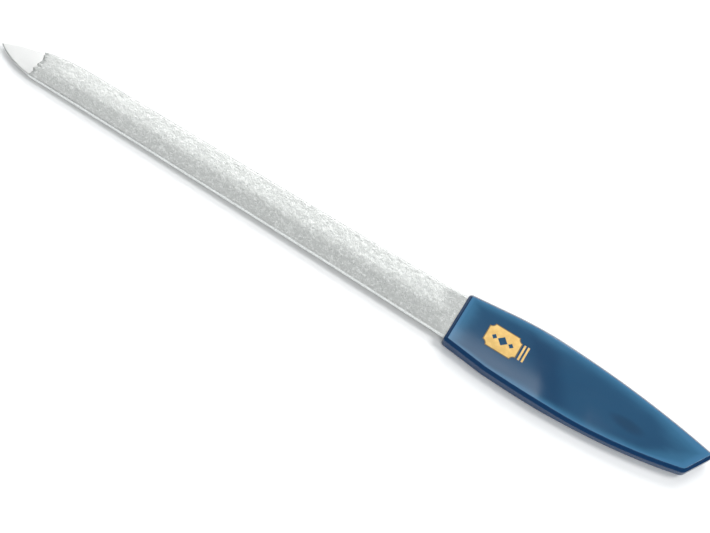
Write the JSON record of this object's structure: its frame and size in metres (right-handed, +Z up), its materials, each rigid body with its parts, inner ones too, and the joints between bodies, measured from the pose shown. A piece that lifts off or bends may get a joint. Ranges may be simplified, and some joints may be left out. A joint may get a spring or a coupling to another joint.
{
  "type": "nail file",
  "caption": "Slim steel nail file with mineral grit bonded to both faces, a bare polished point and a moulded translucent handle with a plain foil badge.",
  "frame": {"origin": "under the middle of the whole file, on the plane of the flat on the handle's underside", "axes": "+X from the point to the butt, +Z up through the file's thickness, +Y across to the far edge"},
  "size_m": [0.18, 0.0168, 0.0036],
  "materials": {
    "polished_steel": "polished, bright at the bare point",
    "grit": "fine pale mineral grit in a clear bond, sparkling",
    "blue_plastic": "glossy, slightly translucent blue with a softly clouded depth",
    "gold_foil": "satin stamped foil"
  },
  "bodies": {
    "root": {"blade": "polished_steel", "upper_grit_coat": "grit", "lower_grit_coat": "grit", "handle": "blue_plastic", "foil_badge": "gold_foil"}
  },
  "joints": []
}
